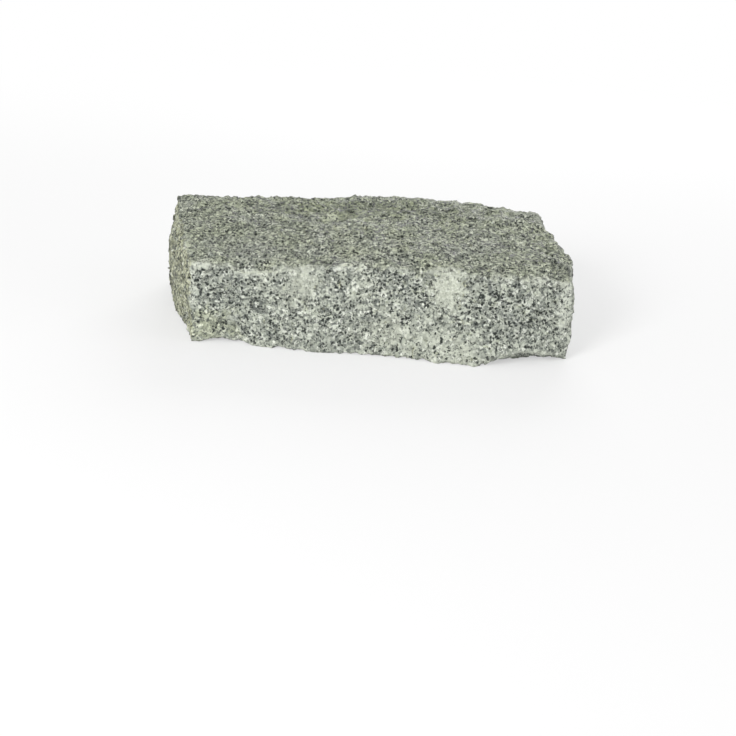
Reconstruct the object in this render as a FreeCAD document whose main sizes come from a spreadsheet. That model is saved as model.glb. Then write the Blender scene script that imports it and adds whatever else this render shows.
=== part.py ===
# Hand-split granite palisade block for edging, steps and low walls, in millimetres.
# The block is one piece of stone. It is modelled as it lies on its bed: +X along its length, +Y towards
# the back, +Z up. The origin is at the middle of the bounding box, on the bed.
#
# A split stone has no flat sides. Each of its five split faces is one gently rolling surface with low
# ridges across it, and two faces meet in an arris, the wandering edge that the split leaves. The bed is
# the one level face.
import math
import os

import FreeCAD
import Part

Vector = FreeCAD.Vector

doc = FreeCAD.newDocument("palisade")

# Driving dimensions
sheet = doc.addObject("Spreadsheet::Sheet", "stone")
DIMENSIONS = {
    "front_length": 394,        # between the two front corners, along the foot
    "nominal_depth": 198,       # front to back, before the arrises wander
    "nominal_height": 95,       # bed to top, before the arrises wander
    "left_end_splay": 40,       # how far the left end runs out by the time it reaches the back
    "right_end_taper": 22,      # how far the right end draws in by the time it reaches the back
    "left_end_belly": 17,       # the left end swells out between bed and top
    "right_end_belly": 4,
    "front_belly": 4,
    "back_belly": 6,
    "top_roll": 3,              # height of the waves that the split left on the top
    "top_roll_length": 150,     # from one wave to the next, along the stone
    "side_roll": 2,             # the same on the four upright faces
    "side_roll_length": 110,
    "ridge_pitch": 44,          # from one low ridge of the broken surface to the next
    "top_ridge_height": 3.4,    # where all the ridges cross, each way from the rolling face
    "side_ridge_height": 4.2,
    "ridge_wander": 11,         # how far a ridge strays from a straight line
    "wedge_mark_pitch": 144,    # the row of splitting wedges along the front brow
    "wedge_mark_width": 30,
    "wedge_mark_bite": 4,       # how deep a wedge bruised the face at the brow
    "wedge_mark_run": 44,       # how far down the face a mark fades out
    "wedge_mark_over": 20,      # how far the groove goes on above the brow
    "left_mark_lean": 7,        # how far the face runs forward over the length of a mark
    "right_mark_lean": 16,
    "first_mark_from_left": 119,
    "brow_dip": 5,              # how far the front brow lies below the nominal top
    "brow_chip_from_left": 66,
    "brow_chip_length": 60,
    "brow_chip_drop": 8,
    "brow_chip_reach": 16,
    "foot_chip_reach": 20,      # how far in the foot spalled off
    "left_foot_chip_rise": 4,
    "left_foot_chip_length": 54,
    "left_foot_chip_from_left": 36,
    "left_foot_chip_forward": 0,    # the foot bulges forward of the nominal front
    "right_foot_chip_rise": 12,
    "right_foot_chip_length": 116,
    "right_foot_chip_from_left": 368,
    "right_foot_chip_forward": 16,
}
for row, (name, size) in enumerate(DIMENSIONS.items(), start=1):
    sheet.set(f"A{row}", name)
    sheet.set(f"B{row}", str(size))
    sheet.setAlias(f"B{row}", name)
doc.recompute()


def cell(name):
    return float(sheet.get(name))


# How far each arris strays from the nominal block, read off the stone at the stations below
FRONT_BROW_OUT = (2, 1, 1, 1, 2, 2, 2, 0, -5)
FRONT_BROW_UP = (-5, -4, -7, -5, 3, -7, -4, -7, -14)
FRONT_FOOT_OUT = (-1, -3, 1, 11, 14, 25, 36, 18, 3)
BACK_BROW_OUT = (-13, -4, 2, 7, 14, 13, 5, -6, -15)
BACK_BROW_UP = (7, 10, 7, 5, 9, 12, 10, 8, 7)
BACK_FOOT_OUT = (-7, -1, 2, 5, 8, 4, -1, -5, -11)
LEFT_BROW_OUT = (2, 3, 1, 3, 4, 2, 0)
LEFT_BROW_UP = (-5, -4, 0, 5, 6, 7, 7)
LEFT_FOOT_OUT = (0, 3, 5, 8, 8, 5, 2)
RIGHT_BROW_OUT = (-5, -1, 3, -3, -5, -5, -4)
RIGHT_BROW_UP = (-14, -8, -3, 1, 5, 7, 7)
RIGHT_FOOT_OUT = (-4, -1, 3, 6, 8, 9, 12)
HEIGHT_STATIONS = 5
DEGREE = 3
SPAN_PARTS = 3  # each span of the frame is cut in this many, so that the net can carry the ridges

# Four sets of ridges cross: the direction from one ridge to the next, its share of ridge_pitch, its phase
RIDGES = (
    (Vector(0.83, 0.21, 0.52), 1.00, 0.10),
    (Vector(-0.32, 0.84, 0.44), 1.27, 0.45),
    (Vector(0.55, -0.62, 0.56), 1.61, 0.75),
    (Vector(0.35, 0.48, -0.80), 2.05, 0.30),
)


def knots(poles):
    """Knots and multiplicities of a clamped, evenly spaced curve with this many poles."""
    spans = poles - DEGREE
    inner = [1] * (spans - 1)
    return [i / spans for i in range(spans + 1)], [DEGREE + 1, *inner, DEGREE + 1]


def stations(poles):
    """Where along an edge, from 0 to 1, each pole stands so that the curve runs evenly."""
    values, times = knots(poles)
    flat = [v for v, n in zip(values, times) for _ in range(n)]
    return [sum(flat[i + 1 : i + 1 + DEGREE]) / DEGREE for i in range(poles)]


ALONG = stations(len(FRONT_BROW_OUT))
ACROSS = stations(len(LEFT_BROW_OUT))
UPWARDS = stations(HEIGHT_STATIONS)


def between(a, b, share):
    return a + (b - a) * share


def arris(start, end, shares, strays):
    """Poles of one arris: the straight line from start to end, moved at each station by its stray."""
    return [between(start, end, t) + stray for t, stray in zip(shares, strays)]


def upright_arris(foot, brow):
    return [between(foot, brow, t) for t in UPWARDS]


def wave(distance, length, phase):
    return math.sin(2 * math.pi * (distance / length + phase))


def ridge_at(point):
    """Height of the crossing ridges at a point, from -1 to 1."""
    pitch, total = cell("ridge_pitch"), 0
    for number, (across, stretch, phase) in enumerate(RIDGES):
        beside = RIDGES[number - 1][0]
        strayed = across.dot(point) + cell("ridge_wander") * wave(beside.dot(point), 2 * pitch, phase)
        total += wave(strayed, pitch * stretch, phase)
    return total / len(RIDGES)


def extra_knots(values):
    """The knots that cut each span in SPAN_PARTS equal parts."""
    return [between(a, b, k / SPAN_PARTS) for a, b in zip(values, values[1:]) for k in range(1, SPAN_PARTS)]


def split_face(south, north, west, east, outward, swell, ridge_height):
    """One rolling split face. Its four edges are rows of poles: south and north run one way,
    west and east the other. swell(u, v, point) is how far the face stands out of its frame,
    and ridge_height is that of the ridges on it. The edges stay as they are."""
    columns, rows = len(south), len(west)
    shares_u, shares_v = stations(columns), stations(rows)
    net = []
    for i, u in enumerate(shares_u):
        column = []
        for j, v in enumerate(shares_v):
            ruled = between(south[i], north[i], v) + between(west[j], east[j], u)
            corners = between(between(south[0], south[-1], u), between(north[0], north[-1], u), v)
            pole = ruled - corners
            on_edge = i in (0, columns - 1) or j in (0, rows - 1)
            if not on_edge:
                pole += outward * swell(u, v, pole)
            column.append(pole)
        net.append(column)
    knots_u, times_u = knots(columns)
    knots_v, times_v = knots(rows)
    surface = Part.BSplineSurface()
    surface.buildFromPolesMultsKnots(net, times_u, times_v, knots_u, knots_v, False, False, DEGREE, DEGREE)
    for value in extra_knots(knots_u):
        surface.insertUKnot(value, 1, 0)
    for value in extra_knots(knots_v):
        surface.insertVKnot(value, 1, 0)
    for i in range(2, surface.NbUPoles):
        for j in range(2, surface.NbVPoles):
            pole = surface.getPole(i, j)
            surface.setPole(i, j, pole + outward * ridge_height * ridge_at(pole))
    return surface.toShape()


def dome(u, v):
    """1 in the middle of a face, 0 on its edges."""
    return 16 * u * (1 - u) * v * (1 - v)


def split_block():
    """The stone as it came off the splitter, before the tool marks and chips."""
    half, front, back = cell("front_length") / 2, -cell("nominal_depth") / 2, cell("nominal_depth") / 2
    top = cell("nominal_height")
    left_back, right_back = -half - cell("left_end_splay"), half - cell("right_end_taper")

    front_foot = arris(Vector(-half, front, 0), Vector(half, front, 0), ALONG,
                       [Vector(0, -out, 0) for out in FRONT_FOOT_OUT])
    front_brow = arris(Vector(-half, front, top), Vector(half, front, top), ALONG,
                       [Vector(0, -out, up) for out, up in zip(FRONT_BROW_OUT, FRONT_BROW_UP)])
    back_foot = arris(Vector(left_back, back, 0), Vector(right_back, back, 0), ALONG,
                      [Vector(0, out, 0) for out in BACK_FOOT_OUT])
    back_brow = arris(Vector(left_back, back, top), Vector(right_back, back, top), ALONG,
                      [Vector(0, out, up) for out, up in zip(BACK_BROW_OUT, BACK_BROW_UP)])

    def end_arris(start, end, sideways, outs, ups):
        """An arris across an end: it meets the long arrises at its two corners, and strays between."""
        strays = []
        for k, (t, out, up) in enumerate(zip(ACROSS, outs, ups)):
            own = 0 if k in (0, len(ACROSS) - 1) else 1
            first, last = (outs[0], ups[0]), (outs[-1], ups[-1])
            strays.append(Vector(sideways * (out - between(first[0], last[0], t)), 0,
                                 up - between(first[1], last[1], t)) * own)
        return arris(start, end, ACROSS, strays)

    level = [0] * len(ACROSS)
    left_foot = end_arris(front_foot[0], back_foot[0], -1, LEFT_FOOT_OUT, level)
    left_brow = end_arris(front_brow[0], back_brow[0], -1, LEFT_BROW_OUT, LEFT_BROW_UP)
    right_foot = end_arris(front_foot[-1], back_foot[-1], 1, RIGHT_FOOT_OUT, level)
    right_brow = end_arris(front_brow[-1], back_brow[-1], 1, RIGHT_BROW_OUT, RIGHT_BROW_UP)

    front_left = upright_arris(front_foot[0], front_brow[0])
    front_right = upright_arris(front_foot[-1], front_brow[-1])
    back_left = upright_arris(back_foot[0], back_brow[0])
    back_right = upright_arris(back_foot[-1], back_brow[-1])

    def top_swell(u, v, point):
        along = wave(point.x, cell("top_roll_length"), v / 2)
        across = wave(point.y, cell("top_roll_length"), u)
        return cell("top_roll") * (along + across) / 2

    def side_swell(belly, phase):
        def swell(u, v, point):
            run = wave(point.x + point.y, cell("side_roll_length"), v / 3 + phase)
            return belly * dome(u, v) + cell("side_roll") * run
        return swell

    faces = [
        split_face(front_brow, back_brow, left_brow, right_brow, Vector(0, 0, 1), top_swell,
                   cell("top_ridge_height")),
        split_face(front_foot, front_brow, front_left, front_right, Vector(0, -1, 0),
                   side_swell(cell("front_belly"), 0.1), cell("side_ridge_height")),
        split_face(back_foot, back_brow, back_left, back_right, Vector(0, 1, 0),
                   side_swell(cell("back_belly"), 0.6), cell("side_ridge_height")),
        split_face(left_foot, left_brow, front_left, back_left, Vector(-1, 0, 0),
                   side_swell(cell("left_end_belly"), 0.35), cell("side_ridge_height")),
        split_face(right_foot, right_brow, front_right, back_right, Vector(1, 0, 0),
                   side_swell(cell("right_end_belly"), 0.8), cell("side_ridge_height")),
    ]
    bed_edges = []
    for row in (front_foot, right_foot, back_foot, left_foot):
        spacing, times = knots(len(row))
        edge = Part.BSplineCurve()
        edge.buildFromPolesMultsKnots(row, times, spacing, False, DEGREE)
        bed_edges.append(edge.toShape())
    faces.append(Part.Face(Part.Wire(Part.__sortEdges__(bed_edges))))
    shell = Part.makeShell(faces)
    shell.sewShape()
    solid = Part.Solid(shell)
    if solid.Volume < 0:
        solid.reverse()
    return solid


block = doc.addObject("Part::Feature", "split_block")
block.Shape = split_block()

stone = doc.addObject("PartDesign::Body", "granite_palisade")
stone.Label = "granite_palisade"
stone.BaseFeature = block
doc.recompute()


def arc_radius(chord, depth):
    """Expression for the radius of the arc over this chord that is this deep."""
    return f"({chord} ^ 2 / 8 / {depth} + {depth} / 2)"


def spall(name, length, reach, rise, x, edge_y, edge_z, side):
    """A shell-shaped chip off an edge of the front: the cap of a ball that opens length wide along the
    edge, reach deep and rise high. side is 1 where the ball lies above the edge, -1 where it lies below."""
    opening = arc_radius(length, reach)
    away = f"({arc_radius(length, rise)} - {rise})"
    chip = stone.newObject("PartDesign::SubtractiveSphere", name)
    chip.setExpression("Radius", f"sqrt({opening} ^ 2 + {away} ^ 2)")
    chip.setExpression("Placement.Base.x", x)
    chip.setExpression("Placement.Base.y", f"{edge_y} - {opening} + {reach}")
    chip.setExpression("Placement.Base.z", f"{edge_z} + {side} * {away}")
    doc.recompute()
    return chip


def wedge_mark(name, x, lean):
    """The groove that a splitting wedge left: a slim cone that runs from the brow down the face, leans
    forward with it by lean, and leaves the face at the end of its run."""
    at_brow = arc_radius("stone.wedge_mark_width", "stone.wedge_mark_bite")
    at_end = f"({at_brow} - stone.wedge_mark_bite)"
    mark = stone.newObject("PartDesign::SubtractiveCone", name)
    mark.setExpression("Radius1", at_end)
    widening = "stone.wedge_mark_bite / stone.wedge_mark_run"
    mark.setExpression("Radius2", f"{at_brow} + stone.wedge_mark_over * {widening}")
    mark.setExpression("Height", "stone.wedge_mark_run + stone.wedge_mark_over")
    mark.Placement = FreeCAD.Placement(Vector(), FreeCAD.Rotation(Vector(-1, 0, 0), 1))
    mark.setExpression("Placement.Rotation.Angle", f"atan({lean} / stone.wedge_mark_run)")
    mark.setExpression("Placement.Base.x", x)
    mark.setExpression("Placement.Base.y", f"{NOMINAL_FRONT} - {at_end} - {lean}")
    mark.setExpression("Placement.Base.z", f"{BROW} - stone.wedge_mark_run")
    doc.recompute()
    return mark


NOMINAL_FRONT = "-stone.nominal_depth / 2"
NOMINAL_LEFT = "-stone.front_length / 2"
BROW = "stone.nominal_height - stone.brow_dip"

# Bruises left by the row of splitting wedges
FIRST_MARK = f"{NOMINAL_LEFT} + stone.first_mark_from_left"
wedge_mark("left_wedge_mark", FIRST_MARK, "stone.left_mark_lean")
wedge_mark("right_wedge_mark", f"{FIRST_MARK} + stone.wedge_mark_pitch", "stone.right_mark_lean")

# Spalls off the front brow and off the foot
spall(
    "brow_chip",
    "stone.brow_chip_length",
    "stone.brow_chip_reach",
    "stone.brow_chip_drop",
    f"{NOMINAL_LEFT} + stone.brow_chip_from_left",
    NOMINAL_FRONT,
    BROW,
    1,
)
for side in ("left", "right"):
    spall(
        f"{side}_foot_chip",
        f"stone.{side}_foot_chip_length",
        "stone.foot_chip_reach",
        f"stone.{side}_foot_chip_rise",
        f"{NOMINAL_LEFT} + stone.{side}_foot_chip_from_left",
        f"{NOMINAL_FRONT} - stone.{side}_foot_chip_forward",
        "0",
        -1,
    )
doc.recompute()

for item in doc.Objects:
    if "Invalid" in item.State or "Error" in item.State:
        raise RuntimeError(f"{item.Name} failed: {item.State}")
# Sets the origin at the middle of the stone, on its bed
box = stone.Shape.optimalBoundingBox()
stone.Placement = FreeCAD.Placement(Vector(-box.Center.x, -box.Center.y, 0), FreeCAD.Rotation())
doc.recompute()

shape = stone.Shape
if shape.isNull() or not shape.isValid() or len(shape.Solids) != 1:
    raise RuntimeError("the stone is not one valid solid")

os.makedirs("parts", exist_ok=True)
shape.exportStep(f"parts/{stone.Label}.step")
box = shape.optimalBoundingBox()
print(f"{stone.Label}: {box.XLength:.1f} x {box.YLength:.1f} x {box.ZLength:.1f} mm")
print(f"from ({box.XMin:.2f}, {box.YMin:.2f}, {box.ZMin:.2f})")
print(f"to ({box.XMax:.2f}, {box.YMax:.2f}, {box.ZMax:.2f})")
print(f"volume {shape.Volume / 1e6:.3f} litres, {len(shape.Faces)} faces")
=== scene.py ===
import bpy
import bmesh
import math
import random
from mathutils import Matrix, Vector, kdtree, noise


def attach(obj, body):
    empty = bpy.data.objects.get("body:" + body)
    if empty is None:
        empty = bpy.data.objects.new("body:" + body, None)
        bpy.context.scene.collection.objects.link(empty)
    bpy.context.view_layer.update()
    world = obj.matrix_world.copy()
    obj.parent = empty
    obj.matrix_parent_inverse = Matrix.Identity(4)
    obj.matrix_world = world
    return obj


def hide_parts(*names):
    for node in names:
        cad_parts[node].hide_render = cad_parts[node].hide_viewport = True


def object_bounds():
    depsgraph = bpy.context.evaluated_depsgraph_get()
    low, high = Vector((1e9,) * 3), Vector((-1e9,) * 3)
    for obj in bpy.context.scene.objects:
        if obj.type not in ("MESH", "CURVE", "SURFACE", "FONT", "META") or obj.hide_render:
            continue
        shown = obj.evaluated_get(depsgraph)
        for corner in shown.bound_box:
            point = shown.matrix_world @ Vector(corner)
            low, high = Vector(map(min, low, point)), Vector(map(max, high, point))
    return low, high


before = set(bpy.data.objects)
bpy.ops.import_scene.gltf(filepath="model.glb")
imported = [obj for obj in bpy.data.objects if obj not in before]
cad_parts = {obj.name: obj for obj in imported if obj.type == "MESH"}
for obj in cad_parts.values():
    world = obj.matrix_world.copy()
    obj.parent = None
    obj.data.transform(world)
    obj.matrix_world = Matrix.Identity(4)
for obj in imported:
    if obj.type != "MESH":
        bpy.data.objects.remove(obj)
cadLow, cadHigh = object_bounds()
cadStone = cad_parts["granite_palisade"]
print("frame loaded", [round(v, 4) for v in cadHigh - cadLow])


# small helpers

def deselectAll():
    bpy.ops.object.select_all(action="DESELECT")


def makeActive(obj):
    deselectAll()
    obj.select_set(True)
    bpy.context.view_layer.objects.active = obj


def applyModifier(obj, modifier):
    makeActive(obj)
    bpy.ops.object.modifier_apply(modifier=modifier.name)


def countTriangles(obj):
    return sum(len(face.vertices) - 2 for face in obj.data.polygons)


def fade(value, low, high):
    # 0 at low, 1 at high, and smooth between them
    share = min(1, max(0, (value - low) / (high - low)))
    return share * share * (3 - 2 * share)


def atLeast(least, share):
    # runs from least to 1 as the share runs from 0 to 1
    return least + (1 - least) * share


# the split stone

stoneLook = {
    "merge": 0.00001,
    "voxel": 0.0015,                # mesh size after the remesh
    "mostTriangles": 196000,
    "softenPasses": 2,              # takes the cut look off the wedge marks
    "arrisAngle": 42,               # degrees between two faces that meet in an arris
    "arrisReach": 0.007,            # how far from an arris its wear shows
    "wornPatch": 0.026,             # size of a worn stretch of arris
    "wornRange": (-0.35, 0.4),      # from unworn to worn, in values of the noise
    "crumblePasses": 4,             # rounding of the worn stretches
    "crumbleFactor": 0.5,
    "leastCrumble": 0.15,           # what an unworn stretch has of it
    "crushedReach": (0.001, 0.0075),    # distances from an arris, from pale to none
    "leastCrushed": 0.35,           # on an unworn stretch
    "leastStruck": 0.3,             # at the back
    "struckFrom": 0.07,             # this far in front of the middle all of it shows
    "marks": [                      # the two wedge bruises, at the brow
        (-0.0600, -0.095, 0.076),
        (0.0850, -0.097, 0.075),
    ],
}

chipLook = {
    "seed": 11,
    "count": 70,
    "mostTries": 2000,
    "radius": (0.007, 0.024),
    "depth": (0.0010, 0.0036),
    "stretch": (1.0, 2.2),     # along the arris
    "lean": 0.35,              # sideways, as a share of the radius
    "lumps": (1.3, 0.22),      # how many on a chip, and how high
    "lumpShift": 90,           # gives each chip lumps of its own
    "gap": 0.015,
    "markGap": 0.034,          # none on the wedge bruises
}

# relief of the break, in metres: wave length and height
breakLook = {
    "swell": (0.062, 0.0012),
    "scar": (0.033, 0.0014),
    "scarShape": (1.0, 2.1, 3, 0.9, 1.6),   # falloff, spacing, octaves, offset and gain
    "ledge": (0.021, 0.0018),
    "ledgeShift": (7, 3, 5),
    "ledgeSteps": 3,
    "ledgeFlat": 0.55,              # share of a step that is level
    "ledgeLift": 0.2,               # keeps the mean height where it was
    "largeFacet": (0.0125, 0.17),   # size and steepness of the broken crystals
    "smallFacet": (0.0056, 0.21),
    "facetShift": 71.3,             # gives each crystal a lean of its own
    "grit": (0.0034, 0.0006),
    "calm": 0.72,                   # how much weaker the facets are on an arris
    "bite": (0.0135, 0.0026),       # nibbles out of an arris
    "biteRange": (-0.15, 0.45),     # from none to full depth, in values of the noise
    "nick": (0.0058, 0.0009),
    "nickRange": (-0.2, 0.4),
    "flake": ((-0.0393, 0.0435), (0.0085, 0.0115), 0.0013),   # on the top: place, half size, height
    "flakeEdge": 0.35,              # share of the half size that slopes
    "dentEdge": 0.8,                # share of the reach that slopes
    "dents": [                      # broad shallow ones: place, reach, depth
        ((-0.219, 0.018, 0.038), 0.050, 0.0026),
        ((-0.179, 0.106, 0.102), 0.022, 0.0045),
        ((-0.143, 0.108, 0.102), 0.020, 0.0048),
        ((-0.072, 0.109, 0.102), 0.016, 0.0020),
        ((0.107, 0.109, 0.102), 0.018, 0.0022),
    ],
    "inward": 0.0009,               # the whole face sits this far inside the CAD stone
}


def copyCadStone(look):
    makeActive(cadStone)
    bpy.ops.object.duplicate()
    copy = bpy.context.active_object
    copy.name = "splitStone"
    copy.data.materials.clear()
    copy.parent = None
    bpy.ops.object.mode_set(mode="EDIT")
    bpy.ops.mesh.select_all(action="SELECT")
    bpy.ops.mesh.remove_doubles(threshold=look["merge"])
    bpy.ops.object.mode_set(mode="OBJECT")
    return copy


def arrisPoints(block, look):
    # points on the sharp edges, each with its outward direction, its run and its length
    mesh = bmesh.new()
    mesh.from_mesh(block.data)
    sharp = math.radians(look["arrisAngle"])
    found = []
    for edge in mesh.edges:
        if len(edge.link_faces) == 2 and edge.calc_face_angle(0) > sharp:
            outward = (edge.link_faces[0].normal + edge.link_faces[1].normal).normalized()
            run = (edge.verts[1].co - edge.verts[0].co).normalized()
            middle = (edge.verts[0].co + edge.verts[1].co) / 2
            found.append((middle.copy(), outward, run, edge.calc_length()))
    mesh.free()
    # in the order of their places, so that the chips fall the same each run
    found.sort(key=lambda point: tuple(round(value, 4) for value in point[0]))
    return found


def addChips(block, points, marks, look):
    dice = random.Random(look["seed"])
    weights = [p[3] for p in points]
    lumps, lumpHeight = look["lumps"]
    cutters, places = [], []
    tries = 0
    while len(cutters) < look["count"] and tries < look["mostTries"]:
        tries += 1
        place, outward, run, _ = dice.choices(points, weights)[0]
        radius = dice.uniform(*look["radius"])
        depth = dice.uniform(*look["depth"])
        stretch = dice.uniform(*look["stretch"])
        if any((place - other).length < look["gap"] for other in places):
            continue
        if any((place - Vector(mark)).length < look["markGap"] for mark in marks):
            continue
        places.append(place)
        bpy.ops.mesh.primitive_ico_sphere_add(subdivisions=3, radius=radius)
        cutter = bpy.context.active_object
        for vertex in cutter.data.vertices:
            knock = noise.noise(vertex.co / radius * lumps + place * look["lumpShift"])
            vertex.co *= 1 + lumpHeight * knock
        side = run.cross(outward).normalized()
        turn = Matrix((run, side, outward)).transposed().to_4x4()
        stretched = Matrix.Diagonal((stretch, 1, 1, 1))
        lean = dice.uniform(-look["lean"], look["lean"])
        offset = outward * (radius - depth) + side * lean * radius
        cutter.data.transform(Matrix.Translation(place + offset) @ turn @ stretched)
        cutters.append(cutter)
    deselectAll()
    for cutter in cutters:
        cutter.select_set(True)
    bpy.context.view_layer.objects.active = cutters[0]
    bpy.ops.object.join()
    allCutters = bpy.context.active_object
    bite = block.modifiers.new("chips", "BOOLEAN")
    bite.operation = "DIFFERENCE"
    bite.solver = "EXACT"
    bite.use_self = True
    bite.object = allCutters
    applyModifier(block, bite)
    bpy.data.objects.remove(allCutters)
    print("chips cut:", len(cutters), "faces:", len(block.data.polygons))


def arrisTree(points):
    tree = kdtree.KDTree(len(points))
    for number, point in enumerate(points):
        tree.insert(point[0], number)
    tree.balance()
    return tree


def wornHere(place, look):
    # 1 on a worn stretch of arris, 0 on a sharp one
    return fade(noise.noise(place / look["wornPatch"]), *look["wornRange"])


def crumbleArrises(block, tree, look):
    group = block.vertex_groups.new(name="crumble")
    for vertex in block.data.vertices:
        near = 1 - fade(tree.find(vertex.co)[2], 0, look["arrisReach"])
        if near > 0:
            worn = atLeast(look["leastCrumble"], wornHere(vertex.co, look))
            group.add([vertex.index], near * worn, "REPLACE")
    wear = block.modifiers.new("crumble", "SMOOTH")
    wear.factor = look["crumbleFactor"]
    wear.iterations = look["crumblePasses"]
    wear.vertex_group = group.name
    applyModifier(block, wear)


def crystalFacet(place, shift, size, steepness):
    # height of the tilted crystal face that the point lies on
    seed = noise.voronoi(place / size)[1][0]
    lean = noise.cell_vector(seed * shift) - Vector((0.5, 0.5, 0.5))
    return (place - seed * size).dot(lean) * steepness * 2


def breakHeight(place, near, look):
    swellSize, swell = look["swell"]
    scarSize, scar = look["scar"]
    ledgeSize, ledge = look["ledge"]
    gritSize, grit = look["grit"]
    height = noise.noise(place / swellSize) * swell
    height -= noise.ridged_multi_fractal(place / scarSize, *look["scarShape"]) * scar - scar
    steps = noise.noise(place / ledgeSize + Vector(look["ledgeShift"])) * look["ledgeSteps"]
    rise = fade(steps - math.floor(steps), look["ledgeFlat"], 1)
    height += (math.floor(steps) + rise + look["ledgeLift"]) * ledge / 2
    facets = crystalFacet(place, look["facetShift"], *look["largeFacet"])
    facets += crystalFacet(place, look["facetShift"], *look["smallFacet"])
    height += facets * (1 - near * look["calm"])
    height += noise.noise(place / gritSize) * grit
    (flakeX, flakeY), (flakeWide, flakeDeep), flake = look["flake"]
    if place.z > cadHigh.z / 2:
        away = math.hypot((place.x - flakeX) / flakeWide, (place.y - flakeY) / flakeDeep)
        height += flake * fade(1 - away, 0, look["flakeEdge"])
    for centre, reach, depth in look["dents"]:
        away = (place - Vector(centre)).length / reach
        height -= depth * fade(1 - away, 0, look["dentEdge"])
    height -= look["inward"]
    if near > 0:
        biteSize, bite = look["bite"]
        nickSize, nick = look["nick"]
        height -= near * bite * fade(noise.noise(place / biteSize), *look["biteRange"])
        height -= near * nick * fade(noise.noise(place / nickSize), *look["nickRange"])
    return height


def breakSurface(block, tree, look, reach):
    # all of the relief goes on at once, along the normals of the plain stone
    moved = []
    for vertex in block.data.vertices:
        near = 1 - fade(tree.find(vertex.co)[2], 0, reach)
        moved.append(vertex.co + vertex.normal * breakHeight(vertex.co, near, look))
    for vertex, place in zip(block.data.vertices, moved):
        vertex.co = place


def keepInside(block):
    # nothing stands out of the CAD stone's box or sinks below its bed
    for vertex in block.data.vertices:
        for axis in range(3):
            vertex.co[axis] = min(cadHigh[axis], max(cadLow[axis], vertex.co[axis]))


def markCrushed(block, tree, look):
    # pale crushed grains on the arrises, most of all at the front where the hammer struck
    crushed = block.data.attributes.new("crushed", "FLOAT", "POINT")
    for vertex in block.data.vertices:
        near = 1 - fade(tree.find(vertex.co)[2], *look["crushedReach"])
        struck = atLeast(look["leastStruck"], fade(-vertex.co.y, 0.0, look["struckFrom"]))
        worn = atLeast(look["leastCrushed"], wornHere(vertex.co, look))
        crushed.data[vertex.index].value = near * struck * worn


def buildStone(look):
    block = copyCadStone(look)
    points = arrisPoints(block, look)
    tree = arrisTree(points)
    addChips(block, points, look["marks"], chipLook)
    remesh = block.modifiers.new("remesh", "REMESH")
    remesh.mode = "VOXEL"
    remesh.voxel_size = look["voxel"]
    applyModifier(block, remesh)
    soften = block.modifiers.new("soften", "SMOOTH")
    soften.iterations = look["softenPasses"]
    applyModifier(block, soften)
    print("remeshed:", len(block.data.polygons), "faces")
    crumbleArrises(block, tree, look)
    breakSurface(block, tree, breakLook, look["arrisReach"])
    thin = block.modifiers.new("thin", "DECIMATE")
    thin.ratio = min(1, look["mostTriangles"] / countTriangles(block))
    applyModifier(block, thin)
    keepInside(block)
    markCrushed(block, tree, look)
    makeActive(block)
    bpy.ops.object.shade_smooth()
    print("stone done:", countTriangles(block), "triangles")
    return block


stone = buildStone(stoneLook)


# granite

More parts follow.
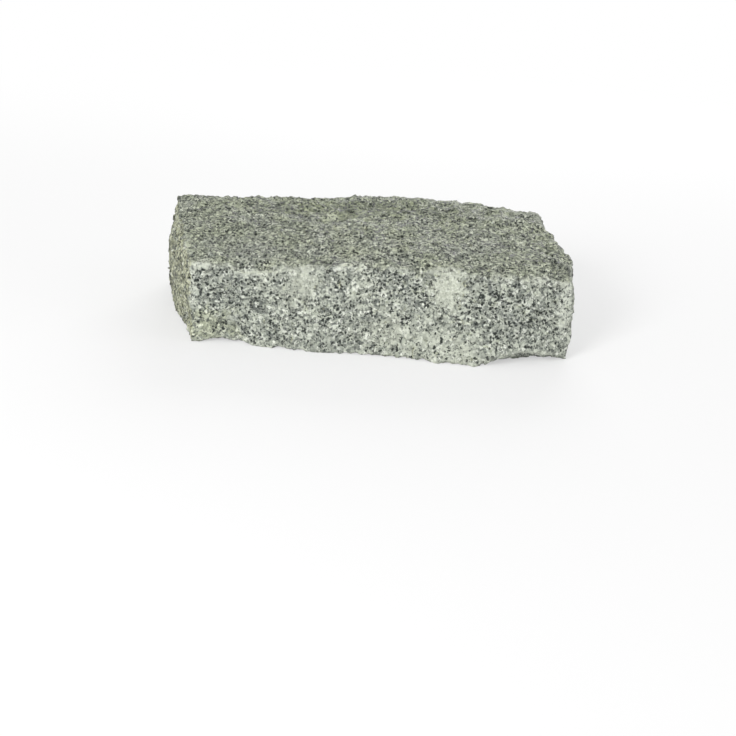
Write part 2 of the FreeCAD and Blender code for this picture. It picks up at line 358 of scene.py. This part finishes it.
graniteLook = {
    "feldsparSize": 0.0031,
    "quartzSize": 0.0018,
    "quartzShare": 0.32,
    "lightTones": [                 # from grey quartz to white feldspar
        (0.0, (0.135, 0.148, 0.135)),
        (0.18, (0.255, 0.275, 0.240)),
        (0.38, (0.410, 0.437, 0.370)),
        (0.66, (0.575, 0.605, 0.515)),
        (0.88, (0.800, 0.825, 0.740)),
    ],
    "edgeWander": 0.0011,           # of the grains' outlines
    "wanderField": (420, 3, 0.55),  # every field of noise: scale, detail and roughness

    # which way a surface faces, with a frayed limit
    "frayField": (130, 4, 0.65),
    "fray": 0.25,
    "topTurn": (0.45, 0.85),
    "leftTurn": (0.50, 0.80),

    # flecks: one at most in a cell of this size, and its radii as shares of the cell
    "mica": {"size": 0.0033, "radii": (0.36, 0.90), "flatness": 2.0, "sharpness": 13},
    "grey": {"size": 0.0022, "radii": (0.43, 0.90), "flatness": 1.2, "sharpness": 13},
    "micaColour": (0.015, 0.019, 0.017),
    "greyColour": (0.100, 0.112, 0.105),
    "micaStrength": 0.95,
    "greyStrength": 0.70,
    "tornField": (1250, 2, 0.5),
    "torn": 0.20,                   # how ragged a fleck is
    "swarmField": (74, 4, 0.62),
    "topSwarm": 0.09,
    "leftSwarm": 0.09,
    "micaShares": (0.36, 0.62, 0.08, 0.86),    # from and to these values of the swarm
    "greyShares": (0.30, 0.66, 0.20, 0.66),

    "patchField": (105, 5, 0.65),
    "patchRagging": 0.5,
    "patchReach": 1.1,
    "patchEdge": 0.75,

    # cloudy change of tone
    "cloudField": (21, 4, 0.55),
    "paleCloud": (0.50, 0.72, 0.0, 0.34),
    "paleCloudTint": (0.56, 0.58, 0.48),
    "darkCloud": (0.48, 0.28, 0.0, 0.24),
    "darkCloudTint": (0.22, 0.235, 0.225),

    # weathered top, and painted shade over the whole of it
    "topField": (23, 5, 0.6),
    "topPatches": (0.36, 0.64, 0.0, 0.70),
    "topPatchTint": (0.84, 0.865, 0.745),
    "topWeatherAndShadeTint": (0.97, 0.97, 0.925),

    # olive film on the left end
    "blotchField": (95, 4, 0.6),
    "paleBlotch": (0.52, 0.40, 0.0, 0.30),
    "paleBlotchTint": (0.66, 0.68, 0.52),
    "darkBlotch": (0.48, 0.64, 0.0, 1.0),
    "darkBlotchTint": (0.56, 0.56, 0.50),
    "filmTint": (0.99, 0.975, 0.85),

    # stone crushed to a pale powder
    "powderField": (520, 4, 0.7),
    "powderTones": [
        (0.34, (0.42, 0.445, 0.365)),
        (0.5, (0.58, 0.61, 0.51)),
        (0.66, (0.76, 0.785, 0.705)),
    ],
    "bruiseField": (170, 5, 0.7),
    "bruiseRagging": 0.6,
    "bruiseSizes": [(0.0155, 0.020, 0.024), (0.0190, 0.024, 0.028)],
    # the second bruise's full strength is partly painted light against the shade in its groove
    "bruiseAndPaintedLightStrengths": [0.64, 1.0],
    "crushedField": (260, 3, 0.55),
    "crushedShares": (0.36, 0.56, 0.10, 1.0),

    "specular": 0.3,
    "roughness": (0.80, 0.40),      # dull feldspar, shining mica
    "gritField": (1100, 3, 0.6),
    "gritHeight": 0.0005,
    "bump": 0.5,
}

# where the stone is stained, crushed or richer in mica, and one patch of painted light: place and
# half size in metres
patches = {
    # partly painted light: paler where the leaning foot catches more light, and partly fewer dark
    # flecks
    "lowFrontPaintedLight": {
        "place": (0.075, -0.115, 0.020), "size": (0.055, 0.030, 0.026),
        "tint": (0.66, 0.69, 0.58), "strength": 0.34, "mica": -0.13,
    },
    "midFront": {
        "place": (0.020, -0.100, 0.030), "size": (0.030, 0.030, 0.020),
        "tint": (0.58, 0.60, 0.49), "strength": 0.25, "mica": -0.08,
    },
    "lichenFoot": {
        "place": (-0.156, -0.090, 0.020), "size": (0.034, 0.026, 0.024),
        "tint": (0.97, 0.975, 0.84), "strength": 0.9, "mica": -0.10, "blend": "MULTIPLY",
    },
    "rightRim": {
        "place": (0.210, -0.094, 0.060), "size": (0.010, 0.018, 0.036),
        "tint": (0.68, 0.71, 0.62), "strength": 0.75, "mica": -0.14,
    },
    "leftBrow": {
        "place": (-0.160, -0.092, 0.0895), "size": (0.028, 0.011, 0.0075),
        "tint": (0.74, 0.77, 0.67), "strength": 0.50, "mica": -0.065,
    },
    "leftBrowEnd": {
        "place": (-0.119, -0.092, 0.083), "size": (0.026, 0.011, 0.0065),
        "tint": (0.74, 0.77, 0.67), "strength": 0.50, "mica": -0.065,
    },
    "midBrow": {
        "place": (-0.011, -0.093, 0.096), "size": (0.022, 0.010, 0.007),
        "tint": (0.74, 0.77, 0.67), "strength": 0.60, "mica": -0.09,
    },
    "leftCorner": {
        "place": (-0.178, -0.092, 0.066), "size": (0.008, 0.012, 0.028),
        "tint": (0.74, 0.77, 0.67), "strength": 0.50, "mica": -0.06,
    },
    "leftTopEdge": {
        "place": (-0.188, -0.062, 0.094), "size": (0.006, 0.034, 0.008),
        "tint": (0.70, 0.72, 0.60), "strength": 0.50, "mica": -0.05,
    },
    "leftSwarm": {
        "place": (-0.128, -0.092, 0.064), "size": (0.045, 0.030, 0.026),
        "tint": (0.20, 0.22, 0.21), "strength": 0.12, "mica": 0.10,
    },
    "browSwarm": {
        "place": (0.036, -0.092, 0.080), "size": (0.036, 0.020, 0.016),
        "tint": (0.20, 0.22, 0.22), "strength": 0.08, "mica": 0.12,
    },
    "rightSwarm": {
        "place": (0.150, -0.108, 0.056), "size": (0.052, 0.030, 0.034),
        "tint": (0.20, 0.22, 0.21), "strength": 0.10, "mica": 0.10,
    },
    "topFilm": {
        "place": (-0.010, 0.066, 0.104), "size": (0.150, 0.036, 0.03),
        "tint": (0.68, 0.70, 0.60), "strength": 0.85, "mica": 0.03, "blend": "MULTIPLY",
    },
    "topFlake": {
        "place": (-0.0375, 0.0430, 0.103), "size": (0.0085, 0.0125, 0.02),
        "tint": (0.66, 0.69, 0.58), "strength": 0.85, "mica": -0.25,
    },
    "topGrey": {
        "place": (-0.120, -0.050, 0.098), "size": (0.080, 0.036, 0.03),
        "tint": (0.36, 0.38, 0.36), "strength": 0.22, "mica": 0.0,
    },
}


class Nodes:
    # a few short ways to lay nodes in a material
    def __init__(self, tree):
        self.tree = tree

    def add(self, kind, **settings):
        node = self.tree.nodes.new(kind)
        for key, value in settings.items():
            setattr(node, key, value)
        return node

    def link(self, start, end):
        self.tree.links.new(start, end)

    def math(self, operation, a, b=None, clamp=False):
        node = self.add("ShaderNodeMath", operation=operation, use_clamp=clamp)
        for socket, value in zip(node.inputs, (a, b)):
            self.put(socket, value)
        return node.outputs[0]

    def vector(self, operation, a, b=None, scale=None):
        node = self.add("ShaderNodeVectorMath", operation=operation)
        self.put(node.inputs[0], a)
        self.put(node.inputs[1], b)
        if scale is not None:
            self.put(node.inputs["Scale"], scale)
        return node.outputs["Value" if operation in ("LENGTH", "DOT_PRODUCT") else "Vector"]

    def put(self, socket, value):
        if value is None:
            return
        if isinstance(value, bpy.types.NodeSocket):
            self.link(value, socket)
        else:
            socket.default_value = value

    def noise(self, vector, scale, detail, roughness):
        node = self.add("ShaderNodeTexNoise")
        self.put(node.inputs["Vector"], vector)
        node.inputs["Scale"].default_value = scale
        node.inputs["Detail"].default_value = detail
        node.inputs["Roughness"].default_value = roughness
        return node.outputs

    def swing(self, vector, field, reach):
        # noise that swings from -reach to reach
        return self.remap(self.noise(vector, *field)["Fac"], 0.3, 0.7, -reach, reach)

    def cells(self, vector, size):
        node = self.add("ShaderNodeTexVoronoi")
        self.put(node.inputs["Vector"], vector)
        node.inputs["Scale"].default_value = 1 / size
        return node.outputs

    def tilt(self, vector, cell):
        # how far the point is from the middle of its cell, along the cell's own direction
        axis = self.vector("SUBTRACT", cell["Color"], (0.5, 0.5, 0.5))
        return self.vector("DOT_PRODUCT", self.vector("SUBTRACT", vector, cell["Position"]), axis)

    def flecks(self, vector, share, ragged, size, radii, flatness, sharpness):
        # ragged plates in some of the cells; share is how many of the cells have one
        cell = self.cells(vector, size)
        pick = self.channels(cell["Color"])
        radius = self.math("ADD", self.remap(pick[1], 0, 1, *radii), ragged)
        along = self.math("ABSOLUTE", self.tilt(vector, cell))   # a plate is thin along its axis
        away = self.math("ADD", cell["Distance"], self.math("MULTIPLY", along, flatness / size))
        edge = self.math("MULTIPLY", self.math("SUBTRACT", radius, away), sharpness, clamp=True)
        return self.math("MULTIPLY", edge, self.math("LESS_THAN", pick[0], share))

    def patch(self, vector, place, size, ragged, look):
        # 1 inside an egg-shaped patch, with a ragged edge
        away = self.vector("DIVIDE", self.vector("SUBTRACT", vector, place), size)
        near = self.math("SUBTRACT", look["patchReach"], self.vector("LENGTH", away))
        return self.remap(self.math("ADD", near, ragged), 0.0, look["patchEdge"])

    def tint(self, share, colour, tint, strength=1, blend="MIX"):
        # lays a tint over the colour where the share is 1
        if strength != 1:
            share = self.math("MULTIPLY", share, strength)
        return self.mix(share, colour, tint, blend)

    def ramp(self, value, stops, interpolation="LINEAR"):
        node = self.add("ShaderNodeValToRGB")
        node.color_ramp.interpolation = interpolation
        elements = node.color_ramp.elements
        while len(elements) < len(stops):
            elements.new(0.5)
        for element, (place, colour) in zip(elements, stops):
            element.position = place
            element.color = (*colour, 1)
        self.put(node.inputs["Fac"], value)
        return node.outputs["Color"]

    def remap(self, value, low, high, toLow=0.0, toHigh=1.0):
        node = self.add("ShaderNodeMapRange", clamp=True)
        node.interpolation_type = "SMOOTHSTEP"
        node.inputs["From Min"].default_value = low
        node.inputs["From Max"].default_value = high
        node.inputs["To Min"].default_value = toLow
        node.inputs["To Max"].default_value = toHigh
        self.put(node.inputs["Value"], value)
        return node.outputs["Result"]

    def mix(self, share, a, b, blend="MIX"):
        node = self.add("ShaderNodeMix", data_type="RGBA", blend_type=blend)
        self.put(node.inputs["Factor"], share)
        self.put(node.inputs[6], (*a, 1) if isinstance(a, tuple) else a)
        self.put(node.inputs[7], (*b, 1) if isinstance(b, tuple) else b)
        return node.outputs[2]

    def channels(self, colour):
        node = self.add("ShaderNodeSeparateColor")
        self.link(colour, node.inputs[0])
        return node.outputs


def newMaterial(name):
    material = bpy.data.materials.new(name)
    material.use_nodes = True
    material.node_tree.nodes.clear()
    return material, Nodes(material.node_tree)


def graniteMaterial(look):
    material, n = newMaterial("splitGranite")
    out = n.add("ShaderNodeOutputMaterial")
    shader = n.add("ShaderNodeBsdfPrincipled")
    n.link(shader.outputs[0], out.inputs["Surface"])

    place = n.add("ShaderNodeTexCoord").outputs["Object"]
    facing = n.add("ShaderNodeSeparateXYZ")
    n.link(n.add("ShaderNodeNewGeometry").outputs["Normal"], facing.inputs[0])

    # grain edges wander
    wander = n.vector("SUBTRACT", n.noise(place, *look["wanderField"])["Color"], (0.5, 0.5, 0.5))
    warped = n.vector("ADD", place, n.vector("SCALE", wander, scale=look["edgeWander"] * 2))

    # light minerals: feldspar from white to cream, with grey quartz between
    feldspar = n.cells(warped, look["feldsparSize"])
    quartz = n.cells(warped, look["quartzSize"])
    large = n.ramp(n.channels(feldspar["Color"])[0], look["lightTones"], "CONSTANT")
    small = n.ramp(n.channels(quartz["Color"])[0], look["lightTones"], "CONSTANT")
    colour = n.mix(look["quartzShare"], large, small)

    fray = n.swing(place, look["frayField"], look["fray"])
    isTop = n.remap(n.math("ADD", facing.outputs["Z"], fray), *look["topTurn"])
    isLeft = n.remap(n.math("SUBTRACT", fray, facing.outputs["X"]), *look["leftTurn"])

    # black mica, in loose swarms, and greyer flecks between
    ragged = n.swing(place, look["patchField"], look["patchRagging"])
    swarm = n.noise(place, *look["swarmField"])["Fac"]
    masks = {}
    for name, patch in patches.items():
        masks[name] = n.patch(place, patch["place"], patch["size"], ragged, look)
        swarm = n.math("ADD", swarm, n.math("MULTIPLY", masks[name], patch["mica"]))
    swarm = n.math("ADD", swarm, n.math("MULTIPLY", isTop, look["topSwarm"]))
    swarm = n.math("ADD", swarm, n.math("MULTIPLY", isLeft, look["leftSwarm"]))
    torn = n.swing(place, look["tornField"], look["torn"])
    grey = n.flecks(warped, n.remap(swarm, *look["greyShares"]), torn, **look["grey"])
    mica = n.flecks(warped, n.remap(swarm, *look["micaShares"]), torn, **look["mica"])

    # clouds and patches lie under the flecks
    cloud = n.noise(place, *look["cloudField"])["Fac"]
    colour = n.tint(n.remap(cloud, *look["paleCloud"]), colour, look["paleCloudTint"])
    colour = n.tint(n.remap(cloud, *look["darkCloud"]), colour, look["darkCloudTint"])
    for name, patch in patches.items():
        blend = patch.get("blend", "MIX")
        colour = n.tint(masks[name], colour, patch["tint"], patch["strength"], blend)
    colour = n.tint(grey, colour, look["greyColour"], look["greyStrength"])
    colour = n.tint(mica, colour, look["micaColour"], look["micaStrength"])

    # the top is weathered: olive in patches, and darker, partly a weathered tone and partly painted
    # shade where the light falls less than on the front
    olive = n.remap(n.noise(place, *look["topField"])["Fac"], *look["topPatches"])
    olive = n.math("MULTIPLY", isTop, olive)
    colour = n.tint(olive, colour, look["topPatchTint"], blend="MULTIPLY")
    # painted shade and weathered tone: the whole top a little darker and more olive
    colour = n.tint(isTop, colour, look["topWeatherAndShadeTint"], blend="MULTIPLY")

    # an olive film on the left end, blotched
    blotch = n.noise(place, *look["blotchField"])["Fac"]
    pale = n.math("MULTIPLY", isLeft, n.remap(blotch, *look["paleBlotch"]))
    dark = n.math("MULTIPLY", isLeft, n.remap(blotch, *look["darkBlotch"]))
    colour = n.tint(pale, colour, look["paleBlotchTint"])
    colour = n.tint(dark, colour, look["darkBlotchTint"], blend="MULTIPLY")
    colour = n.tint(isLeft, colour, look["filmTint"], blend="MULTIPLY")

    # the wedge bruises hide most of the dark grains; the second is partly painted light, made
    # stronger to lift the shade in its groove
    powder = n.ramp(n.noise(place, *look["powderField"])["Fac"], look["powderTones"])
    ragged = n.swing(place, look["bruiseField"], look["bruiseRagging"])
    bruises = zip(stoneLook["marks"], look["bruiseSizes"], look["bruiseAndPaintedLightStrengths"])
    for centre, size, strength in bruises:
        bruise = n.patch(place, centre, size, ragged, look)
        colour = n.tint(bruise, colour, powder, strength)

    # crushed grains show pale along the arrises
    crushed = n.add("ShaderNodeAttribute", attribute_name="crushed").outputs["Fac"]
    broken = n.remap(n.noise(place, *look["crushedField"])["Fac"], *look["crushedShares"])
    colour = n.tint(n.math("MULTIPLY", crushed, broken), colour, powder)
    n.link(colour, shader.inputs["Base Color"])

    shader.inputs["Specular IOR Level"].default_value = look["specular"]
    n.link(n.remap(mica, 0, 1, *look["roughness"]), shader.inputs["Roughness"])

    # every grain broke at its own tilt
    tilts = n.math("ADD", n.tilt(warped, feldspar), n.tilt(warped, quartz))
    grit = n.math("MULTIPLY", n.noise(place, *look["gritField"])["Fac"], look["gritHeight"])
    bump = n.add("ShaderNodeBump")
    bump.inputs["Strength"].default_value = look["bump"]
    bump.inputs["Distance"].default_value = 1.0
    n.link(n.math("ADD", tilts, grit), bump.inputs["Height"])
    n.link(bump.outputs[0], shader.inputs["Normal"])
    return material


stone.data.materials.append(graniteMaterial(graniteLook))
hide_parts("granite_palisade")
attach(stone, "root")
print("granite done")


# floor, light and camera

studioLook = {
    "floorSize": 14,
    "floorColour": (0.86, 0.86, 0.86),
    "fadeStart": 0.45,       # metres from the stone where the floor starts to fade to white
    "fadeEnd": 1.3,
    "paleness": 0.5,         # how much of the shadow is lifted near the stone
    "softLight": 0.50,       # from all round
    "backdrop": 1.0,
    "aim": (0, 0, 0.05),
}

lamps = [
    {"name": "keyLight", "place": (-1.2, -1.9, 1.3), "size": 0.9, "power": 44},
    {"name": "fillLight", "place": (1.9, -0.6, 0.9), "size": 1.6, "power": 9},
    {"name": "backLight", "place": (0.4, 2.1, 0.9), "size": 1.5, "power": 32},
]

cameraLook = {
    "lens": 70,
    "sensor": 36,
    "place": (0.0086, -1.4705, 0.5942),
    "pitch": 24,              # degrees below level
    "roll": 2.7,              # the photographed block leans a little
}


def floorMaterial(look):
    material, n = newMaterial("paleFloor")
    out = n.add("ShaderNodeOutputMaterial")
    matt = n.add("ShaderNodeBsdfDiffuse")
    matt.inputs["Color"].default_value = (*look["floorColour"], 1)
    white = n.add("ShaderNodeEmission")
    white.inputs["Strength"].default_value = 1
    away = n.vector("LENGTH", n.add("ShaderNodeTexCoord").outputs["Object"])
    away = n.remap(away, look["fadeStart"], look["fadeEnd"], look["paleness"], 1)
    rays = n.add("ShaderNodeLightPath")
    seen = n.math("MAXIMUM", rays.outputs["Is Camera Ray"], rays.outputs["Is Glossy Ray"])
    blend = n.add("ShaderNodeMixShader")
    n.link(n.math("MULTIPLY", away, seen), blend.inputs[0])
    n.link(matt.outputs[0], blend.inputs[1])
    n.link(white.outputs[0], blend.inputs[2])
    n.link(blend.outputs[0], out.inputs["Surface"])
    return material


def addFloor(look):
    bpy.ops.mesh.primitive_plane_add(size=look["floorSize"], location=(0, 0, 0))
    floor = bpy.context.active_object
    floor.name = "paleFloor"
    floor.data.materials.append(floorMaterial(look))
    return floor


def addLamp(lamp, look):
    bpy.ops.object.light_add(type="AREA", location=lamp["place"])
    light = bpy.context.active_object
    light.name = lamp["name"]
    light.data.size = lamp["size"]
    light.data.energy = lamp["power"]
    aim = Vector(look["aim"]) - Vector(lamp["place"])
    light.rotation_euler = aim.to_track_quat("-Z", "Y").to_euler()


def addWorld(look):
    # soft light from all round, with plain white behind
    world = bpy.data.worlds.new("whiteRoom")
    bpy.context.scene.world = world
    world.use_nodes = True
    world.node_tree.nodes.clear()
    n = Nodes(world.node_tree)
    out = n.add("ShaderNodeOutputWorld")
    soft = n.add("ShaderNodeBackground")
    soft.inputs["Strength"].default_value = look["softLight"]
    white = n.add("ShaderNodeBackground")
    white.inputs["Strength"].default_value = look["backdrop"]
    for background in (soft, white):
        background.inputs["Color"].default_value = (1, 1, 1, 1)
    blend = n.add("ShaderNodeMixShader")
    n.link(n.add("ShaderNodeLightPath").outputs["Is Camera Ray"], blend.inputs[0])
    n.link(soft.outputs[0], blend.inputs[1])
    n.link(white.outputs[0], blend.inputs[2])
    n.link(blend.outputs[0], out.inputs["Surface"])


def addCamera(look):
    data = bpy.data.cameras.new("photoCamera")
    data.lens = look["lens"]
    data.sensor_width = look["sensor"]
    camera = bpy.data.objects.new("photoCamera", data)
    bpy.context.scene.collection.objects.link(camera)
    camera.rotation_mode = "QUATERNION"
    pitch = Matrix.Rotation(math.radians(90 - look["pitch"]), 4, "X")
    roll = Matrix.Rotation(math.radians(look["roll"]), 4, "Z")
    camera.matrix_world = Matrix.Translation(look["place"]) @ (pitch @ roll)
    return camera


floor = addFloor(studioLook)
for lamp in lamps:
    addLamp(lamp, studioLook)
addWorld(studioLook)
bpy.context.scene.camera = addCamera(cameraLook)
bpy.context.scene.view_settings.view_transform = "Standard"
print("studio done")
